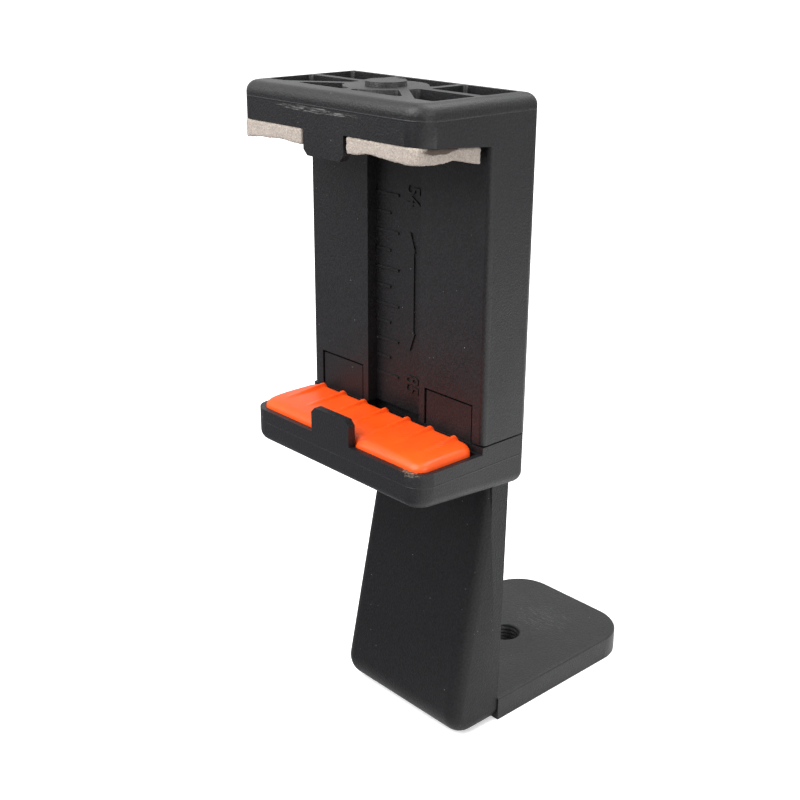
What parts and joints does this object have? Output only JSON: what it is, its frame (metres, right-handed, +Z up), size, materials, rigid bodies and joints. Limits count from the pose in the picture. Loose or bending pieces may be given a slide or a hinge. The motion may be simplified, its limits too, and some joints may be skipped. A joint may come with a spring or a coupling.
{
  "type": "phone holder",
  "caption": "Spring clamp phone holder on a sloping desk post with a flat foot; the lower jaw pulls down to let a phone in.",
  "frame": {"origin": "middle of the part's footprint box, on the desk", "axes": "+Z up, -Y towards the person who uses the phone, +X to the right as seen from behind the holder's front"},
  "size_m": [0.052, 0.081, 0.1407],
  "materials": {
    "black_plastic": "satin moulded black",
    "orange_rubber": "soft satin",
    "felt": "pressed felt",
    "steel": "plain"
  },
  "bodies": {
    "stand": {"clamp_body": "black_plastic", "back_cover": "black_plastic", "cover_screws": "steel", "clamp_screw": "steel", "clamp_nut": "steel", "felt_right": "felt", "felt_left": "felt", "return_spring_right": "steel", "return_spring_left": "steel", "upper_spring_pins": "steel", "upright": "black_plastic", "foot_plate": "black_plastic", "foot_screws": "steel"},
    "jaw": {"lower_jaw": "black_plastic", "grip_pad": "orange_rubber", "lower_spring_pins": "steel"}
  },
  "joints": [
    {"name": "jaw_slide", "type": "slide", "parent": "stand", "child": "jaw", "axis": [0, 0, -1], "range_m": [0, 0.031], "stiffness_N_per_m": 250, "springref_m": -0.03, "deforming": ["return_spring_right", "return_spring_left"]}
  ]
}
